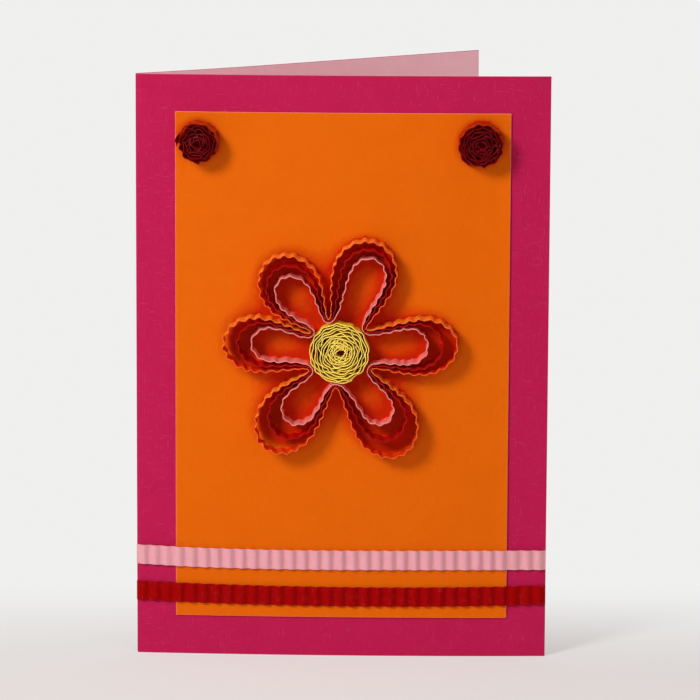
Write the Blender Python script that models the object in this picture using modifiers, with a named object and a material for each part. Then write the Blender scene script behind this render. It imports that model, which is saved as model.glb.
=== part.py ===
"""A folded greeting card with a quilled paper flower.

One sheet of card is folded once and stands open like a book. Its front carries an
orange panel. On the panel stand three long crimped paper strips, set on edge and bent
round six petals, one inside the other. A yellow roll of crimped strip fills the middle
of the flower, two dark red rolls sit near the panel's top corners, and two crimped
bands lie flat across the foot of the card.

Lengths are in metres. The card's own axes have x along the front from the fold, y
towards the back and z up, and an empty carries everything so that the origin lies
under the middle of the whole card.
"""
import bpy
import bmesh
from math import atan, ceil, cos, pi, radians, sin, tau
from mathutils import Vector
from mathutils.geometry import interpolate_bezier

# The folded sheet
CARD_WIDTH = 0.105
CARD_HEIGHT = 0.150
CARD_THICKNESS = 0.00035
FOLD_RADIUS = 0.0006
FOLD_OPENING = radians(28.3)
FRONT_BOW = 0.0015
BACK_CURL = radians(7.0)
BACK_CURL_LENGTH = 0.040

# The panel glued on the front, placed from the card's fold and from its upper edge
PANEL_WIDTH = 0.0849
PANEL_HEIGHT = 0.1304
PANEL_THICKNESS = 0.00025
PANEL_FROM_FOLD = 0.0101
PANEL_FROM_HEAD = 0.0094
GLUE = 0.00006

# The paper strips, all cut to one width
STRIP_WIDTH = 0.005
STRIP_THICKNESS = 0.0002
CRIMP_PITCH = 0.00275

# The flower, its middle given from the middle of the panel
FLOWER_LEFT_OF_MIDDLE = 0.00045
FLOWER_ABOVE_MIDDLE = 0.0046
CENTRE_ROLL_RADIUS = 0.0077
PINK_CRIMP_DEPTH = 0.0004
RED_CRIMP_DEPTH = 0.0006
ORANGE_CRIMP_DEPTH = 0.00075
STRIP_SPACING = 0.00043
STRIP_END_GAP = 0.0004
FLAT_AT_TURN = 0.006
SIDE_FULLNESS = 0.42
ROUNDNESS = 0.55

# One row for each petal, anticlockwise: the direction of the turn before it, then the
# direction, reach and width of its outer loop and of its inner loop.
PETALS = (
    (42.0, 72.8, 0.0295, 0.0160, 70.0, 0.0255, 0.0093),
    (108.0, 127.5, 0.0295, 0.0150, 129.0, 0.0239, 0.0088),
    (145.5, 174.7, 0.0296, 0.0137, 173.7, 0.0226, 0.0085),
    (210.0, 232.5, 0.0309, 0.0150, 233.8, 0.0222, 0.0086),
    (264.0, 302.5, 0.0306, 0.0157, 304.0, 0.0216, 0.0080),
    (332.0, 364.3, 0.0298, 0.0141, 365.6, 0.0224, 0.0091),
)

# How far the tip of each petal's outer strip has sprung up from the panel
GLUED_DOWN = (0.0,) * len(PETALS)
OUTER_TIP_LIFTS = (0.0, 0.0012, 0.0018, 0.0018, 0.0006, 0.0)

# The rolls, those at the corners placed from the panel's upper corners
ROLL_CORE = 0.0007
CENTRE_ROLL_TURN_GAP = 0.00066
CENTRE_ROLL_CRIMP_DEPTH = 0.0003
CORNER_ROLL_TURN_GAP = 0.00084
CORNER_ROLL_CRIMP_DEPTH = 0.0004
LEFT_ROLL_RADIUS = 0.00515
LEFT_ROLL_INSET = 0.0059
LEFT_ROLL_DROP = 0.0076
RIGHT_ROLL_RADIUS = 0.0056
RIGHT_ROLL_INSET = 0.0074
RIGHT_ROLL_DROP = 0.0078
RIGHT_ROLL_LOOSE_END = 0.0013
LOOSE_END_SLOPE = 0.7

# The bands across the foot
BAND_PITCH = 0.00315
BAND_DEPTH = 0.0007
BAND_SLOPE_LENGTH = 0.002

# The height of each band's middle line above the panel's lower edge: at the fold, at two
# points that bend the line, and at the card's free edge
PINK_BAND_UP = (0.0159, 0.0144, 0.0155, 0.0152)
RED_BAND_UP = (0.0064, 0.0054, 0.0052, 0.0061)

# Points along a curve
CARD_STEPS = 10
FOLD_STEPS = 6
CURL_STEPS = 4
BEZIER_STEPS = 24
POINTS_PER_CRIMP = 2
POINTS_PER_RIB = 4


def clear_scene():
    for obj in list(bpy.data.objects):
        bpy.data.objects.remove(obj, do_unlink=True)


def paper(name, colour, roughness):
    """A matt coloured paper."""
    material = bpy.data.materials.new(name)
    material.use_nodes = True
    shader = material.node_tree.nodes["Principled BSDF"]
    shader.inputs["Base Color"].default_value = (*colour, 1.0)
    shader.inputs["Roughness"].default_value = roughness
    shader.inputs["Metallic"].default_value = 0.0
    return material


def front_face(along):
    """How far forward the bowed front of the card lies, at a distance from the fold."""
    share = along / CARD_WIDTH
    return 4.0 * FRONT_BOW * share * (1.0 - share)


def on_card(along, up, proud):
    """A point standing proud of the front of the card."""
    return Vector((along, -front_face(along) - proud, up))


def ribbon(name, feet, heads, thickness, material, collection, stand):
    """A strip of paper between two lines of points: one row of faces, then a thickness."""
    cells = len(feet) - 1
    mesh = bpy.data.meshes.new(name)
    bm = bmesh.new()
    bmesh.ops.create_grid(bm, x_segments=cells, y_segments=1, size=1.0)
    for vert in bm.verts:
        index = round((vert.co.x + 1.0) / 2.0 * cells)
        vert.co = heads[index] if vert.co.y > 0.0 else feet[index]
    bm.to_mesh(mesh)
    bm.free()
    mesh.materials.append(material)
    obj = bpy.data.objects.new(name, mesh)
    collection.objects.link(obj)
    obj.parent = stand
    shell = obj.modifiers.new("Paper thickness", "SOLIDIFY")
    shell.thickness = thickness
    shell.offset = 0.0
    shell.use_even_offset = True
    return obj


def card_plan():
    """The middle line of the folded sheet seen from above, from the front's free edge."""
    half = CARD_THICKNESS / 2.0
    fold_start = FOLD_RADIUS + half
    points = []
    for step in range(CARD_STEPS + 1):
        along = CARD_WIDTH + (fold_start - CARD_WIDTH) * step / CARD_STEPS
        points.append(Vector((along, half - front_face(along))))
    arriving = pi - atan(4.0 * FRONT_BOW / CARD_WIDTH)
    centre = points[-1] + FOLD_RADIUS * Vector((sin(arriving), -cos(arriving)))
    for step in range(1, FOLD_STEPS + 1):
        heading = arriving + (FOLD_OPENING - arriving) * step / FOLD_STEPS
        points.append(centre + FOLD_RADIUS * Vector((-sin(heading), cos(heading))))
    for step in range(CURL_STEPS):
        heading = FOLD_OPENING + BACK_CURL * (step + 0.5) / CURL_STEPS
        stride = BACK_CURL_LENGTH / CURL_STEPS
        points.append(points[-1] + stride * Vector((cos(heading), sin(heading))))
    heading = FOLD_OPENING + BACK_CURL
    rest = CARD_WIDTH - fold_start - BACK_CURL_LENGTH
    points.append(points[-1] + rest * Vector((cos(heading), sin(heading))))
    return points


def folded_card(material, collection, stand):
    plan = card_plan()
    feet = [Vector((x, y, 0.0)) for x, y in plan]
    heads = [Vector((x, y, CARD_HEIGHT)) for x, y in plan]
    return ribbon("folded_card", feet, heads, CARD_THICKNESS, material, collection, stand)


def panel_middle():
    return GLUE + PANEL_THICKNESS / 2.0


def panel_front():
    return GLUE + PANEL_THICKNESS


def panel_head():
    return CARD_HEIGHT - PANEL_FROM_HEAD


def panel_foot():
    return panel_head() - PANEL_HEIGHT


def panel_right():
    return PANEL_FROM_FOLD + PANEL_WIDTH


def orange_panel(material, collection, stand):
    feet = []
    heads = []
    for step in range(CARD_STEPS + 1):
        along = PANEL_FROM_FOLD + PANEL_WIDTH * step / CARD_STEPS
        feet.append(on_card(along, panel_foot(), panel_middle()))
        heads.append(on_card(along, panel_head(), panel_middle()))
    return ribbon("orange_panel", feet, heads, PANEL_THICKNESS, material, collection, stand)


def towards(degrees, distance=1.0):
    angle = radians(degrees)
    return Vector((cos(angle), sin(angle))) * distance


def bezier(start, start_handle, end_handle, end):
    """Points of a cubic curve in the plane, without its last one."""
    knots = [point.to_3d() for point in (start, start_handle, end_handle, end)]
    return [point.to_2d() for point in interpolate_bezier(*knots, BEZIER_STEPS + 1)[:-1]]


def half_petal(turn, axis, reach, width, shoulder_share, turn_radius, turn_handle, side):
    """From the turn beside the middle roll, out along one side of a petal, to its tip."""
    along_axis = towards(axis)
    across = towards(axis + 90.0, side)
    foot = towards(turn, turn_radius)
    foot_handle = foot + towards(turn - 90.0 * side, turn_handle)
    shoulder_out = shoulder_share * reach
    shoulder = along_axis * shoulder_out + across * width / 2.0
    side_handle = shoulder - along_axis * SIDE_FULLNESS * (shoulder_out - turn_radius)
    round_handle = shoulder + along_axis * ROUNDNESS * (reach - shoulder_out)
    tip = along_axis * reach
    tip_handle = tip + across * ROUNDNESS * width / 2.0
    points = bezier(foot, foot_handle, side_handle, shoulder)
    points += bezier(shoulder, round_handle, tip_handle, tip)
    points.append(tip)
    return points


def petal_loop(number, outward, shoulder_share, turn_radius, turn_handle):
    """One petal's smooth line, from turn to turn. Outward is 0 inside and 1 outside."""
    before, outer_axis, outer_reach, outer_width, axis, reach, width = PETALS[number]
    after = PETALS[(number + 1) % len(PETALS)][0]
    if after < before:
        after += 360.0
    axis += (outer_axis - axis) * outward
    reach += (outer_reach - reach) * outward
    width += (outer_width - width) * outward
    shape = (axis, reach, width, shoulder_share, turn_radius, turn_handle)
    rising = half_petal(before, *shape, -1.0)
    falling = half_petal(after, *shape, 1.0)
    return rising + falling[-2::-1]


def lengths_along(points):
    total = [0.0]
    for start, end in zip(points, points[1:]):
        total.append(total[-1] + (end - start).length)
    return total


def at_length(points, lengths, wanted):
    """A place on a line of points, with the direction the line takes there."""
    wanted = min(max(wanted, 0.0), lengths[-1])
    index = 1
    while lengths[index] < wanted and index < len(lengths) - 1:
        index += 1
    span = lengths[index] - lengths[index - 1]
    share = (wanted - lengths[index - 1]) / span
    direction = (points[index] - points[index - 1]).normalized()
    return points[index - 1].lerp(points[index], share), direction


def flower_middle():
    along = PANEL_FROM_FOLD + PANEL_WIDTH / 2.0 - FLOWER_LEFT_OF_MIDDLE
    return Vector((along, panel_foot() + PANEL_HEIGHT / 2.0 + FLOWER_ABOVE_MIDDLE))


def crimped_petal(smooth, crimp_depth, tip_lift):
    """The smooth line pressed into waves, which fade out where it turns at the roll.

    Each point's third number is its height above the panel, which grows to the tip's.
    """
    lengths = lengths_along(smooth)
    waves = round(lengths[-1] / CRIMP_PITCH)
    steps = waves * POINTS_PER_CRIMP
    points = []
    for step in range(steps):
        distance = lengths[-1] * step / steps
        place, direction = at_length(smooth, lengths, distance)
        from_turn = min(distance, lengths[-1] - distance)
        fade = min(1.0, from_turn / FLAT_AT_TURN)
        swing = cos(tau * step / POINTS_PER_CRIMP) * fade * crimp_depth / 2.0
        point = place + Vector((direction.y, -direction.x)) * swing
        lift = tip_lift * (2.0 * from_turn / lengths[-1])**2
        points.append(Vector((point.x, point.y, lift)))
    return points


def stand_on_panel(points, middle):
    """The glued edge and the free edge of a strip that stands on the panel."""
    feet = []
    heads = []
    for point in points:
        along, up = middle + point.to_2d()
        foot = panel_front() + GLUE + point.z
        feet.append(on_card(along, up, foot))
        heads.append(on_card(along, up, foot + STRIP_WIDTH))
    return feet, heads


def petal_strip(name, outward, order, shoulder_share, turn_handle, crimp_depth, tip_lifts,
                material, collection, stand):
    """One long strip round all six petals. Order counts the strips out from the roll."""
    widest = widest_turn(CENTRE_ROLL_RADIUS, CENTRE_ROLL_TURN_GAP)
    turn_radius = widest + GLUE + STRIP_THICKNESS / 2.0 + STRIP_SPACING * order
    points = []
    for number, tip_lift in enumerate(tip_lifts):
        smooth = petal_loop(number, outward, shoulder_share, turn_radius, turn_handle)
        points += crimped_petal(smooth, crimp_depth, tip_lift)
    end = points[0]
    arrival = (end - points[-1]).normalized()
    points.append(end - arrival * STRIP_END_GAP)
    feet, heads = stand_on_panel(points, flower_middle())
    return ribbon(name, feet, heads, STRIP_THICKNESS, material, collection, stand)


def widest_turn(radius, turn_gap):
    """How far the end of a roll's strip reaches, where it lies on the turn before."""
    return radius + turn_gap / 2.0


def spiral(radius, turn_gap, crimp_depth, start_angle):
    """The smooth line of a roll, from its core to its outer end."""
    outer = widest_turn(radius, turn_gap) - STRIP_THICKNESS / 2.0 - crimp_depth / 2.0
    turns = (outer - ROLL_CORE) / turn_gap
    steps = ceil(turns * 36)
    points = []
    for step in range(steps + 1):
        share = step / steps
        reach = ROLL_CORE + (outer - ROLL_CORE) * share
        angle = start_angle + turns * tau * share
        points.append(Vector((cos(angle), sin(angle))) * reach)
    return points


def crimped_roll(radius, turn_gap, crimp_depth, start_angle):
    """The spiral pressed into waves, shallow near the core where it is rolled tight."""
    smooth = spiral(radius, turn_gap, crimp_depth, start_angle)
    lengths = lengths_along(smooth)
    steps = round(lengths[-1] / CRIMP_PITCH * POINTS_PER_CRIMP)
    points = []
    for step in range(steps + 1):
        place, direction = at_length(smooth, lengths, lengths[-1] * step / steps)
        tight = min(1.0, place.length / radius * 1.5)
        swing = cos(pi * step) * tight * crimp_depth / 2.0
        points.append(place + Vector((direction.y, -direction.x)) * swing)
    return [point.to_3d() for point in points]


def loose_end(points, length):
    """Where the end of a roll's strip reaches after it springs away from the roll."""
    outward = points[-1].normalized()
    onward = Vector((-outward.y, outward.x, 0.0))
    return points[-1] + (onward + outward * LOOSE_END_SLOPE).normalized() * length


def roll(name, middle, points, material, collection, stand):
    feet, heads = stand_on_panel(points, middle)
    return ribbon(name, feet, heads, STRIP_THICKNESS, material, collection, stand)


def centre_roll(material, collection, stand):
    points = crimped_roll(CENTRE_ROLL_RADIUS, CENTRE_ROLL_TURN_GAP, CENTRE_ROLL_CRIMP_DEPTH,
                          radians(40.0))
    return roll("yellow_centre_roll", flower_middle(), points, material, collection, stand)


def left_corner_roll(material, collection, stand):
    points = crimped_roll(LEFT_ROLL_RADIUS, CORNER_ROLL_TURN_GAP, CORNER_ROLL_CRIMP_DEPTH,
                          radians(160.0))
    middle = Vector((PANEL_FROM_FOLD + LEFT_ROLL_INSET, panel_head() - LEFT_ROLL_DROP))
    return roll("left_corner_roll", middle, points, material, collection, stand)


def right_corner_roll(material, collection, stand):
    points = crimped_roll(RIGHT_ROLL_RADIUS, CORNER_ROLL_TURN_GAP, CORNER_ROLL_CRIMP_DEPTH,
                          radians(237.0))
    points.append(loose_end(points, RIGHT_ROLL_LOOSE_END))
    middle = Vector((panel_right() - RIGHT_ROLL_INSET, panel_head() - RIGHT_ROLL_DROP))
    return roll("right_corner_roll", middle, points, material, collection, stand)


def under_band(along):
    """What a band lies on: the panel in the middle, the bare card at both ends."""
    outside = max(PANEL_FROM_FOLD - along, along - panel_right(), 0.0)
    return panel_front() * max(0.0, 1.0 - outside / BAND_SLOPE_LENGTH)


def band(name, heights, material, collection, stand):
    """A crimped strip laid flat across the card, its ribs upright."""
    ribs = round(CARD_WIDTH / BAND_PITCH)
    steps = ribs * POINTS_PER_RIB
    feet = []
    heads = []
    for step in range(steps + 1):
        share = step / steps
        along = CARD_WIDTH * share
        weights = ((1 - share)**3, 3*share*(1 - share)**2, 3*share**2*(1 - share), share**3)
        up = panel_foot() + sum(weight * height for weight, height in zip(weights, heights))
        wave = BAND_DEPTH * (1.0 - cos(tau * step / POINTS_PER_RIB)) / 2.0
        proud = under_band(along) + GLUE + STRIP_THICKNESS + wave
        feet.append(on_card(along, up - STRIP_WIDTH / 2.0, proud))
        heads.append(on_card(along, up + STRIP_WIDTH / 2.0, proud))
    return ribbon(name, feet, heads, STRIP_THICKNESS, material, collection, stand)


def centre_over_origin(stand, collection):
    """Moves the empty so that the origin lies under the middle of the whole card."""
    bpy.context.view_layer.update()
    graph = bpy.context.evaluated_depsgraph_get()
    points = []
    for obj in collection.objects:
        if obj.type == "MESH":
            solid = obj.evaluated_get(graph)
            points += [solid.matrix_world @ vert.co for vert in solid.data.vertices]
    lowest = Vector([min(point[axis] for point in points) for axis in range(3)])
    highest = Vector([max(point[axis] for point in points) for axis in range(3)])
    middle = (lowest + highest) / 2.0
    stand.location = (-middle.x, -middle.y, -lowest.z)


clear_scene()
collection = bpy.data.collections.new("quilled_flower_card")
bpy.context.scene.collection.children.link(collection)
stand = bpy.data.objects.new("card_stand", None)
collection.objects.link(stand)

cerise_card = paper("cerise_card", (0.48, 0.012, 0.085), 0.65)
orange_card = paper("orange_card", (0.76, 0.13, 0.002), 0.65)
orange_paper = paper("orange_paper", (0.80, 0.12, 0.01), 0.6)
dark_red_paper = paper("dark_red_paper", (0.22, 0.004, 0.004), 0.35)
pink_paper = paper("pink_paper", (0.75, 0.30, 0.33), 0.5)
yellow_paper = paper("yellow_paper", (0.80, 0.62, 0.02), 0.5)

folded_card(cerise_card, collection, stand)
orange_panel(orange_card, collection, stand)
petal_strip("pink_petal_strip", 0.0, 0, 0.78, 0.0026, PINK_CRIMP_DEPTH, GLUED_DOWN,
            pink_paper, collection, stand)
petal_strip("red_petal_strip", 0.5, 1, 0.75, 0.0021, RED_CRIMP_DEPTH, GLUED_DOWN,
            dark_red_paper, collection, stand)
petal_strip("orange_petal_strip", 1.0, 2, 0.70, 0.0013, ORANGE_CRIMP_DEPTH, OUTER_TIP_LIFTS,
            orange_paper, collection, stand)
centre_roll(yellow_paper, collection, stand)
left_corner_roll(dark_red_paper, collection, stand)
right_corner_roll(dark_red_paper, collection, stand)
band("pink_band", PINK_BAND_UP, pink_paper, collection, stand)
band("red_band", RED_BAND_UP, dark_red_paper, collection, stand)
centre_over_origin(stand, collection)
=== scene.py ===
"""The looks of a folded greeting card with a quilled paper flower on its front.

Lengths are in metres. Points on the card are given as along (from the fold), up (from
the foot) and proud (how far in front of the card), and then placed in the frame.
"""
from math import atan, ceil, cos, degrees, pi, radians, sin, tau

import bpy
import bmesh
from mathutils import Matrix, Vector, noise
from mathutils.bvhtree import BVHTree
from mathutils.geometry import interpolate_bezier


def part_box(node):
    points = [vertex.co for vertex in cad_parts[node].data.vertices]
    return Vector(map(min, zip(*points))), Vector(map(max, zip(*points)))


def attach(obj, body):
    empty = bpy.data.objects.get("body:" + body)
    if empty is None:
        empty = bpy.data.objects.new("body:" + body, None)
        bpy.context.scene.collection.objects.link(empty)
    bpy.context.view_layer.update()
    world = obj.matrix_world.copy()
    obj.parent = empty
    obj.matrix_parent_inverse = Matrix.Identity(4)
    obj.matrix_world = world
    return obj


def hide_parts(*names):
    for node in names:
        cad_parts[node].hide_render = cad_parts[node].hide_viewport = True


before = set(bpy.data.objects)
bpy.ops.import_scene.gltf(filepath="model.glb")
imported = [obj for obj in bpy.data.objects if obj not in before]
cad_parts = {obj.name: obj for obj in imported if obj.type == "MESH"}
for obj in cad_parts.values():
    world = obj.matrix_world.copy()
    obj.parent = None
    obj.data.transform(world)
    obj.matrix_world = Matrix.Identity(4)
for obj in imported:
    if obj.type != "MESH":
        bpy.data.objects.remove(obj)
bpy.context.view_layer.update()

# The folded card
# One sheet of 300 g card, cerise outside and light pink inside, scored, folded once and
# stood open like a book. Its front bows a little, and its back curls away from the fold.
CARD_WIDTH = 0.105
CARD_HEIGHT = 0.150
CARD_THICKNESS = 0.00035
CARD_BURR = 0.00010
FOLD_RADIUS = 0.0006
FOLD_OPENING = radians(28.3)
FRONT_BOW = 0.0015
BACK_CURL = radians(7.0)
BACK_CURL_LENGTH = 0.040
FRONT_STEPS = 60
FOLD_STEPS = 14
CURL_STEPS = 24
BACK_STEPS = 8
CARD_ROWS = 12
CORNER_ANGLE = radians(50.0)
SMOOTH_ANGLE = radians(40.0)
CERISE = (0.49, 0.012, 0.080)
CERISE_DEEP = (0.41, 0.007, 0.058)
CERISE_CUT = (0.62, 0.11, 0.19)
CARD_PINK = (1.0, 0.60, 0.67)
CARD_PINK_DEEP = (0.95, 0.50, 0.57)
CLOUD_RANGE = (0.3, 0.7)
TOOTH_RANGE = (0.32, 0.68)
FIBRE_RANGE = (0.66, 0.78)
FIBRE_THICKNESS = 0.0003
FIBRE_STRETCH = 9.0
ROUGHNESS_DRIFT = 0.06
TOOTH_STRENGTH = 0.6


def front_face(along):
    """How far forward the bowed front of the card lies, at a distance from the fold."""
    share = along / CARD_WIDTH
    return 4.0 * FRONT_BOW * share * (1.0 - share)


card_low, card_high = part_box("folded_card")
card_place = Vector((card_high.x - CARD_WIDTH, card_low.y + FRONT_BOW, card_low.z))


def on_card(along, up, proud):
    """A point standing proud of the front of the card, in the frame."""
    return card_place + Vector((along, -front_face(along) - proud, up))


def add_node(tree, kind, inputs=(), **settings):
    """A new node with its settings made. An input is a value or another node's output."""
    node = tree.nodes.new(kind)
    for name, value in settings.items():
        setattr(node, name, value)
    for socket, value in dict(inputs).items():
        if isinstance(value, bpy.types.NodeSocket):
            tree.links.new(value, node.inputs[socket])
        else:
            node.inputs[socket].default_value = value
    return node


def mixed(tree, share, first, second):
    """The output of a node that mixes two colours by a share."""
    ends = {6: first, 7: second}
    inputs = {0: share}
    for socket, colour in ends.items():
        inputs[socket] = colour if isinstance(colour, bpy.types.NodeSocket) else (*colour, 1.0)
    return add_node(tree, "ShaderNodeMix", inputs, data_type="RGBA").outputs[2]


def spread(tree, value, low, high, new_low=0.0, new_high=1.0):
    """A value taken from one range to another and kept inside it."""
    inputs = {0: value, 1: low, 2: high, 3: new_low, 4: new_high}
    return add_node(tree, "ShaderNodeMapRange", inputs).outputs[0]


def grain(tree, size, detail=2.0, stretch=(1.0, 1.0, 1.0), turn=(0.0, 0.0, 0.0)):
    """Noise whose spots are about one size across, stretched along the piece's axes."""
    place = add_node(tree, "ShaderNodeTexCoord").outputs["Object"]
    mapping = add_node(tree, "ShaderNodeMapping", {
        "Vector": place, "Rotation": turn, "Scale": tuple(1.0 / size / side for side in stretch)})
    return add_node(tree, "ShaderNodeTexNoise", {
        "Vector": mapping.outputs[0], "Scale": 1.0, "Detail": detail}).outputs[0]


def paper(name, colour, deep, roughness, tooth=0.00045, tooth_height=0.00002, cloud=0.006,
          shading=0.5, fibre_share=0.12, fibre_colour=(0.9, 0.75, 0.7), gloss=0.04):
    """Dyed paper: cloudy where the pulp is uneven, with a fine tooth and paler fibres."""
    material = bpy.data.materials.new(name)
    material.use_nodes = True
    tree = material.node_tree
    shader = tree.nodes["Principled BSDF"]
    clouds = spread(tree, grain(tree, cloud, 3.0), *CLOUD_RANGE)
    specks = spread(tree, grain(tree, tooth, 2.0), *TOOTH_RANGE)
    depth = add_node(tree, "ShaderNodeMath", {0: clouds, 1: specks}, operation="ADD").outputs[0]
    depth = add_node(tree, "ShaderNodeMath", {0: depth, 1: shading * 0.5}, operation="MULTIPLY")
    body = mixed(tree, depth.outputs[0], colour, deep)
    flat_fibres = grain(tree, FIBRE_THICKNESS, 1.0, (FIBRE_STRETCH, FIBRE_STRETCH, 1.0),
                        (0.0, 0.5, 0.0))
    upright_fibres = grain(tree, FIBRE_THICKNESS, 1.0, (1.0, 1.0, FIBRE_STRETCH),
                           (0.0, 0.3, 0.0))
    longest = add_node(tree, "ShaderNodeMath", {0: flat_fibres, 1: upright_fibres},
                       operation="MAXIMUM").outputs[0]
    fibres = spread(tree, longest, *FIBRE_RANGE, 0.0, fibre_share)
    tree.links.new(mixed(tree, fibres, body, fibre_colour), shader.inputs["Base Color"])
    rough = spread(tree, specks, 0.0, 1.0, roughness - ROUGHNESS_DRIFT,
                   roughness + ROUGHNESS_DRIFT)
    tree.links.new(rough, shader.inputs["Roughness"])
    heights = add_node(tree, "ShaderNodeMath", {0: specks, 1: fibres}, operation="ADD")
    bump = add_node(tree, "ShaderNodeBump", {
        "Strength": TOOTH_STRENGTH, "Distance": tooth_height, "Height": heights.outputs[0]})
    tree.links.new(bump.outputs[0], shader.inputs["Normal"])
    shader.inputs["Specular IOR Level"].default_value = gloss
    return material


def plan_of_card():
    """The middle line of the folded sheet seen from above, from the front's free edge."""
    half = CARD_THICKNESS / 2.0
    fold_start = FOLD_RADIUS + half
    points = []
    for step in range(FRONT_STEPS + 1):
        along = CARD_WIDTH + (fold_start - CARD_WIDTH) * step / FRONT_STEPS
        points.append(Vector((along, half - front_face(along))))
    arriving = pi - atan(4.0 * FRONT_BOW / CARD_WIDTH)
    centre = points[-1] + FOLD_RADIUS * Vector((sin(arriving), -cos(arriving)))
    for step in range(1, FOLD_STEPS + 1):
        heading = arriving + (FOLD_OPENING - arriving) * step / FOLD_STEPS
        points.append(centre + FOLD_RADIUS * Vector((-sin(heading), cos(heading))))
    stride = BACK_CURL_LENGTH / CURL_STEPS
    for step in range(CURL_STEPS):
        heading = FOLD_OPENING + BACK_CURL * (step + 0.5) / CURL_STEPS
        points.append(points[-1] + stride * Vector((cos(heading), sin(heading))))
    heading = FOLD_OPENING + BACK_CURL
    stride = (CARD_WIDTH - fold_start - BACK_CURL_LENGTH) / BACK_STEPS
    for step in range(BACK_STEPS):
        points.append(points[-1] + stride * Vector((cos(heading), sin(heading))))
    return points


def keep_mesh(obj):
    """Turns an object with modifiers into a plain mesh."""
    graph = bpy.context.evaluated_depsgraph_get()
    mesh = bpy.data.meshes.new_from_object(obj.evaluated_get(graph))
    obj.modifiers.clear()
    obj.data = mesh


def new_piece(name, mesh, materials):
    """An object of a mesh with its materials, linked into the scene."""
    obj = bpy.data.objects.new(name, mesh)
    bpy.context.scene.collection.objects.link(obj)
    for material in materials:
        mesh.materials.append(material)
    return obj


def sheet_of(name, columns, rows, place, thickness, burr, materials):
    """A thin sheet over a grid, its front dyed one colour, its back and cut edge others.

    The burr is how far in from its outline the cut has crushed it.
    """
    mesh = bpy.data.meshes.new(name)
    bm = bmesh.new()
    bmesh.ops.create_grid(bm, x_segments=columns, y_segments=rows, size=1.0)
    for vert in bm.verts:
        column = (vert.co.x + 1.0) / 2.0
        row = (vert.co.y + 1.0) / 2.0
        vert.co = place(column, row)
    for face in bm.faces:
        face.smooth = True
    bm.to_mesh(mesh)
    bm.free()
    obj = new_piece(name, mesh, materials)
    shell = obj.modifiers.new("Thickness", "SOLIDIFY")
    shell.thickness = thickness
    shell.offset = 0.0
    shell.use_even_offset = True
    shell.material_offset = 1
    shell.material_offset_rim = 2
    bevel = obj.modifiers.new("Cut edge", "BEVEL")
    bevel.width = burr
    bevel.segments = 1
    bevel.limit_method = "ANGLE"
    bevel.angle_limit = CORNER_ANGLE
    bevel.material = 2
    keep_mesh(obj)
    obj.data.set_sharp_from_angle(angle=SMOOTH_ANGLE)
    return obj


card_plan = plan_of_card()


def place_on_plan(column, row):
    """The card's middle surface, from the front's free edge round the fold."""
    spot = card_plan[round(column * (len(card_plan) - 1))]
    return card_place + Vector((spot.x, spot.y, row * CARD_HEIGHT))


cerise_card = paper("cerise_card_face", CERISE, CERISE_DEEP, roughness=0.62,
                    fibre_share=0.10, fibre_colour=(0.75, 0.20, 0.33))
pink_card = paper("pink_card_face", CARD_PINK, CARD_PINK_DEEP, roughness=0.7, shading=0.7,
                  fibre_share=0.25, fibre_colour=(0.9, 0.62, 0.66))
cut_card = paper("cut_card_edge", CERISE_CUT, CERISE, roughness=0.75)
card = sheet_of("card_sheet", len(card_plan) - 1, CARD_ROWS, place_on_plan, CARD_THICKNESS,
                CARD_BURR, (pink_card, cerise_card, cut_card))
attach(card, "root")
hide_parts("folded_card")

# The orange panel
# A rectangle of 220 g orange card, cut with a knife and glued flat on the front. It is
# dyed through, so its cut edge shows a lighter orange, and its right and lower edges lift.
PANEL_WIDTH = 0.0849
PANEL_HEIGHT = 0.1304
PANEL_THICKNESS = 0.00025
PANEL_BURR = 0.00012
PANEL_LEFT = 0.0101
PANEL_HEAD = 0.1406
PANEL_FOOT = PANEL_HEAD - PANEL_HEIGHT
PANEL_RIGHT = PANEL_LEFT + PANEL_WIDTH
GLUE = 0.00006
PANEL_EDGE_LIFT = 0.00025
PANEL_LIFT_REACH = 0.004
PANEL_COLUMNS = 120
PANEL_ROWS = 160
ORANGE = (0.73, 0.130, 0.0015)
ORANGE_DEEP = (0.67, 0.108, 0.0008)
ORANGE_CUT = (1.0, 0.24, 0.18)


def panel_front():
    """How far the panel's face stands proud of the card."""
    return GLUE + PANEL_THICKNESS


def place_on_panel(column, row):
    """The panel's middle surface, which lifts a little towards its right and lower edge."""
    from_edge = min((1.0 - column) * PANEL_WIDTH, row * PANEL_HEIGHT)
    lift = max(0.0, 1.0 - from_edge / PANEL_LIFT_REACH)**2 * PANEL_EDGE_LIFT
    proud = GLUE + PANEL_THICKNESS / 2.0 + lift
    return on_card(PANEL_LEFT + column * PANEL_WIDTH, PANEL_FOOT + row * PANEL_HEIGHT, proud)


orange_card = paper("orange_card_face", ORANGE, ORANGE_DEEP, roughness=0.6,
                    fibre_share=0.08, fibre_colour=(0.95, 0.35, 0.06))
orange_cut = paper("orange_card_cut", ORANGE_CUT, ORANGE, roughness=0.7)
panel = sheet_of("orange_front_panel", PANEL_COLUMNS, PANEL_ROWS, place_on_panel,
                 PANEL_THICKNESS, PANEL_BURR, (orange_card, orange_card, orange_cut))
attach(panel, "root")
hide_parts("orange_panel")

# The three petal strips
# Long strips of 5 mm quilling paper, run through a crimper, set on edge and bent round
# six petals, one inside the other. Their crimps are pressed flat where they turn beside
# the middle roll. The paper lets some light through, and its cut edges are paler.
STRIP_WIDTH = 0.005
STRIP_THICKNESS = 0.0002
CRIMP_PITCH = 0.00275
FLOWER_RIGHT = 0.0521
FLOWER_UP = 0.0800
CENTRE_ROLL_RADIUS = 0.0077
CENTRE_ROLL_TURN_GAP = 0.0006
STRIP_SPACING = 0.00043
FLAT_AT_TURN = 0.006
SIDE_FULLNESS = 0.42
ROUNDNESS = 0.55
POINT_SPACING = 0.00016
BEZIER_STEPS = 32

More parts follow.
